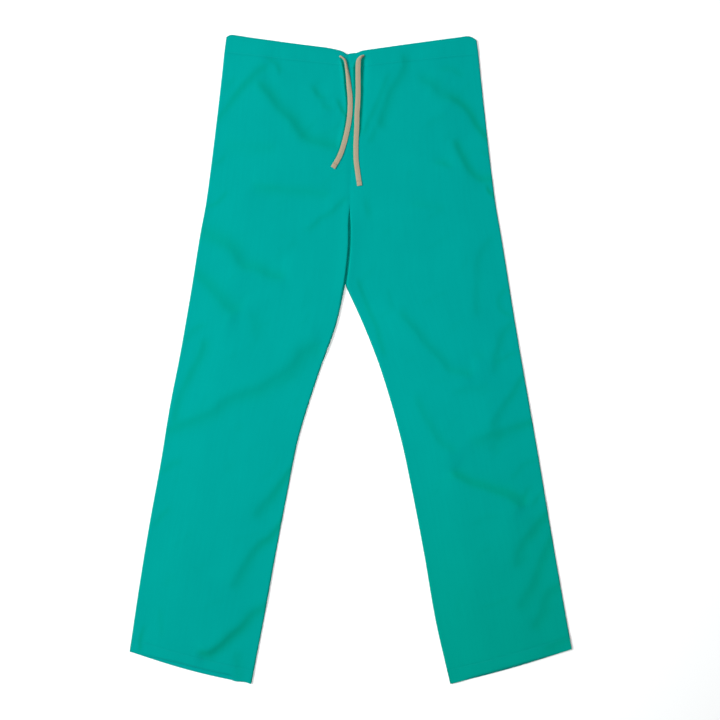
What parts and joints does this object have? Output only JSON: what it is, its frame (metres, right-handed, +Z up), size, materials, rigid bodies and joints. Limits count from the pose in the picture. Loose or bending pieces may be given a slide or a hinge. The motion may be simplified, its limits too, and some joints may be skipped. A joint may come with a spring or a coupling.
{
  "type": "drawstring scrub trousers, laid flat",
  "caption": "Plain scrub trousers laid flat, front up, with a drawstring casing at the waist, straight legs and turned-up hems.",
  "frame": {"origin": "middle of the outline, on the surface that the trousers lie on", "axes": "+Y towards the waist, +X to the right of someone who looks down on the front (the wearer's left), +Z up"},
  "size_m": [0.797, 1.1692, 0.0137],
  "materials": {
    "cloth": "plain-woven poly-cotton, teal green, matt with a slight sheen",
    "tape": "woven tape, tan"
  },
  "bodies": {
    "root": {"front_right": "cloth", "front_left": "cloth", "back_right": "cloth", "back_left": "cloth", "casing_front_right": "cloth", "casing_front_left": "cloth", "casing_back_right": "cloth", "casing_back_left": "cloth", "hem_front_right": "cloth", "hem_front_left": "cloth", "hem_back_right": "cloth", "hem_back_left": "cloth", "drawstring_right": "tape", "drawstring_left": "tape"}
  },
  "joints": []
}
